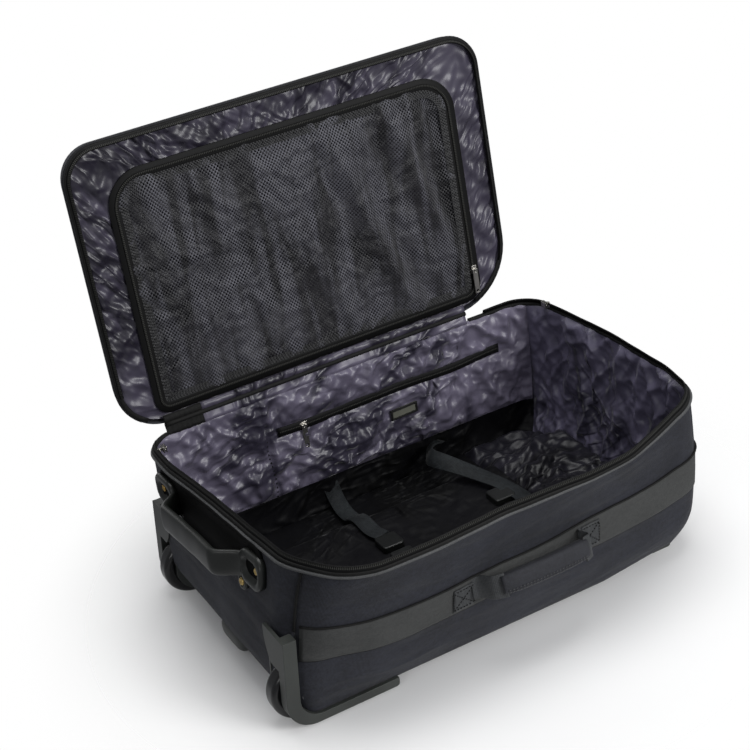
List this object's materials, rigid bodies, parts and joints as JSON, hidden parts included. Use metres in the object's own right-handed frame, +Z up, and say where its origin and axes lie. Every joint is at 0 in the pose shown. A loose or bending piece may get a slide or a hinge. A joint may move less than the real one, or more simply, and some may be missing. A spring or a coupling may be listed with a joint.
{
  "type": "rolling duffel bag",
  "caption": "Soft two-wheeled trolley duffel lying on its back with its zip-round lid open, satin lining, mesh lid pocket, telescopic handle, grab bar and carry handles",
  "frame": {"origin": "on the floor, under the middle of the bag as it stands with its lid open", "axes": "+X runs along the bag from the wheel end to the top end, -Y is the side with the carry handle, +Y the side the lid hinges on, +Z is up"},
  "size_m": [0.7194, 0.5591, 0.6736],
  "materials": {
    "outer_weave": "navy-black polyester weave",
    "band_weave": "smooth dark grey polyester band",
    "piping_weave": "black bound piping",
    "lining_satin": "purple-grey satin",
    "pocket_mesh": "black knitted mesh",
    "zip_tape_weave": "black zip tape",
    "webbing_weave": "black ribbed webbing",
    "grip_weave": "padded black fabric",
    "zip_metal": "gunmetal plate",
    "screw_brass": "turned brass",
    "housing_plastic": "grained black plastic",
    "grab_plastic": "satin black plastic",
    "bush_plastic": "natural nylon",
    "buckle_plastic": "moulded black plastic",
    "label_plastic": "soft grey rubbery plate",
    "wheel_rubber": "smooth black rubber",
    "tube_aluminium": "drawn aluminium",
    "steel_bright": "plain steel",
    "board_plastic": "black board",
    "button_plastic": "grey plastic"
  },
  "bodies": {
    "case": {"back_board": "board_plastic", "back_panel": "outer_weave", "base_bracket": "housing_plastic", "body_lining": "lining_satin", "body_zip_tape": "zip_tape_weave", "brass_screws": "screw_brass", "buckle_plugs": "buckle_plastic", "buckle_sockets": "buckle_plastic", "far_end_feet": "housing_plastic", "grab_bar": "grab_plastic", "handle_patches": "webbing_weave", "hinge_side_panel": "outer_weave", "hinge_strip": "outer_weave", "label_plate": "label_plastic", "near_side_panel": "outer_weave", "outer_tubes": "tube_aluminium", "packing_straps": "webbing_weave", "pocket_zip_tape": "zip_tape_weave", "rim_binding": "piping_weave", "rim_piping": "piping_weave", "rim_wire": "steel_bright", "seam_cords": "piping_weave", "side_band": "band_weave", "top_end_panel": "outer_weave", "trolley_bezel": "housing_plastic", "tube_cover": "lining_satin", "wheel_axles": "steel_bright", "wheel_bushes": "bush_plastic", "wheel_end_panel": "outer_weave", "wheel_housing_far": "housing_plastic", "wheel_housing_near": "housing_plastic"},
    "lid_edge": {"hinge_welt": "piping_weave"},
    "lid": {"lid_facing": "lining_satin", "lid_gusset": "outer_weave", "lid_lining": "lining_satin", "lid_panel": "outer_weave", "lid_piping": "piping_weave", "lid_zip_tape": "zip_tape_weave", "mesh_panel": "pocket_mesh", "mesh_zip_frame": "zip_tape_weave"},
    "near_wheel": {"near_wheel_hub": "housing_plastic", "near_wheel_tyre": "wheel_rubber"},
    "far_wheel": {"far_wheel_hub": "housing_plastic", "far_wheel_tyre": "wheel_rubber"},
    "trolley": {"inner_tubes": "tube_aluminium", "trolley_grip": "grab_plastic"},
    "release_button": {"release_button": "button_plastic"},
    "lock_pins": {"lock_pins": "steel_bright"},
    "side_handle": {"side_handle_grip": "grip_weave", "side_handle_webbing": "webbing_weave"},
    "top_handle": {"top_handle_grip": "grip_weave", "top_handle_webbing": "webbing_weave"},
    "pocket_slider": {"pocket_zip_slider": "zip_metal"},
    "pocket_pull": {"pocket_zip_pull": "zip_metal"},
    "mesh_slider": {"mesh_zip_slider": "zip_metal"},
    "mesh_pull": {"mesh_zip_pull": "zip_metal"},
    "wheel_end_slider": {"main_slider_wheel_end": "zip_metal"},
    "wheel_end_pull": {"main_pull_wheel_end": "zip_metal"},
    "top_end_slider": {"main_slider_top_end": "zip_metal"},
    "top_end_pull": {"main_pull_top_end": "zip_metal"}
  },
  "joints": [
    {"name": "lid_hinge", "type": "hinge", "parent": "case", "child": "lid_edge", "pos_m": [0, 0.208, 0.257], "axis": [1, 0, 0], "range_deg": [-80, 95]},
    {"name": "lid_shift", "type": "slide", "parent": "lid_edge", "child": "lid", "axis": [1, 0, 0], "range_m": [-0.0255, 0.0302]},
    {"name": "near_wheel_spin", "type": "hinge", "parent": "case", "child": "near_wheel", "pos_m": [-0.308, -0.176, 0.044], "axis": [0, 1, 0], "continuous": true},
    {"name": "far_wheel_spin", "type": "hinge", "parent": "case", "child": "far_wheel", "pos_m": [-0.308, 0.176, 0.044], "axis": [0, 1, 0], "continuous": true},
    {"name": "trolley_slide", "type": "slide", "parent": "case", "child": "trolley", "axis": [1, 0, 0], "range_m": [0, 0.4]},
    {"name": "release_press", "type": "slide", "parent": "trolley", "child": "release_button", "axis": [-1, 0, 0], "range_m": [0, 0.0035], "stiffness_N_per_m": 800, "springref_m": -0.002},
    {"name": "lock_pin_retract", "type": "slide", "parent": "trolley", "child": "lock_pins", "axis": [0, 0, -1], "range_m": [0, 0.0025]},
    {"name": "side_handle_swing", "type": "hinge", "parent": "case", "child": "side_handle", "pos_m": [0.03, -0.2121, 0.124], "axis": [-1, 0, 0], "range_deg": [-60, 40]},
    {"name": "top_handle_swing", "type": "hinge", "parent": "case", "child": "top_handle", "pos_m": [0.3241, 0, 0.124], "axis": [0, -1, 0], "range_deg": [-25, 90]},
    {"name": "pocket_zip_slide", "type": "slide", "parent": "case", "child": "pocket_slider", "axis": [1, 0, 0], "range_m": [-0.035, 0.335]},
    {"name": "pocket_pull_swing", "type": "hinge", "parent": "pocket_slider", "child": "pocket_pull", "pos_m": [-0.088, 0.1971, 0.178], "axis": [-1, 0, 0], "range_deg": [0, 150]},
    {"name": "mesh_zip_slide", "type": "slide", "parent": "lid", "child": "mesh_slider", "axis": [0, 0.0872, 0.9962], "range_m": [-0.005, 0.26]},
    {"name": "mesh_pull_swing", "type": "hinge", "parent": "mesh_slider", "child": "mesh_pull", "pos_m": [0.233, 0.20952, 0.3191], "axis": [-1, 0, 0], "range_deg": [0, 150]},
    {"name": "wheel_end_zip_slide", "type": "slide", "parent": "case", "child": "wheel_end_slider", "axis": [0, -1, 0], "range_m": [0, 0.3]},
    {"name": "wheel_end_pull_swing", "type": "hinge", "parent": "wheel_end_slider", "child": "wheel_end_pull", "pos_m": [-0.32455, 0.156, 0.2505], "axis": [0, 1, 0], "range_deg": [0, 150]},
    {"name": "top_end_zip_slide", "type": "slide", "parent": "case", "child": "top_end_slider", "axis": [0, -1, 0], "range_m": [0, 0.3]},
    {"name": "top_end_pull_swing", "type": "hinge", "parent": "top_end_slider", "child": "top_end_pull", "pos_m": [0.32455, 0.156, 0.2505], "axis": [0, -1, 0], "range_deg": [0, 150]}
  ],
  "couplings": [
    {"joint": "lid_shift", "follows": "lid_hinge", "m_per_rad": 0.018093},
    {"joint": "lock_pin_retract", "follows": "release_press", "ratio": 0.7142}
  ]
}
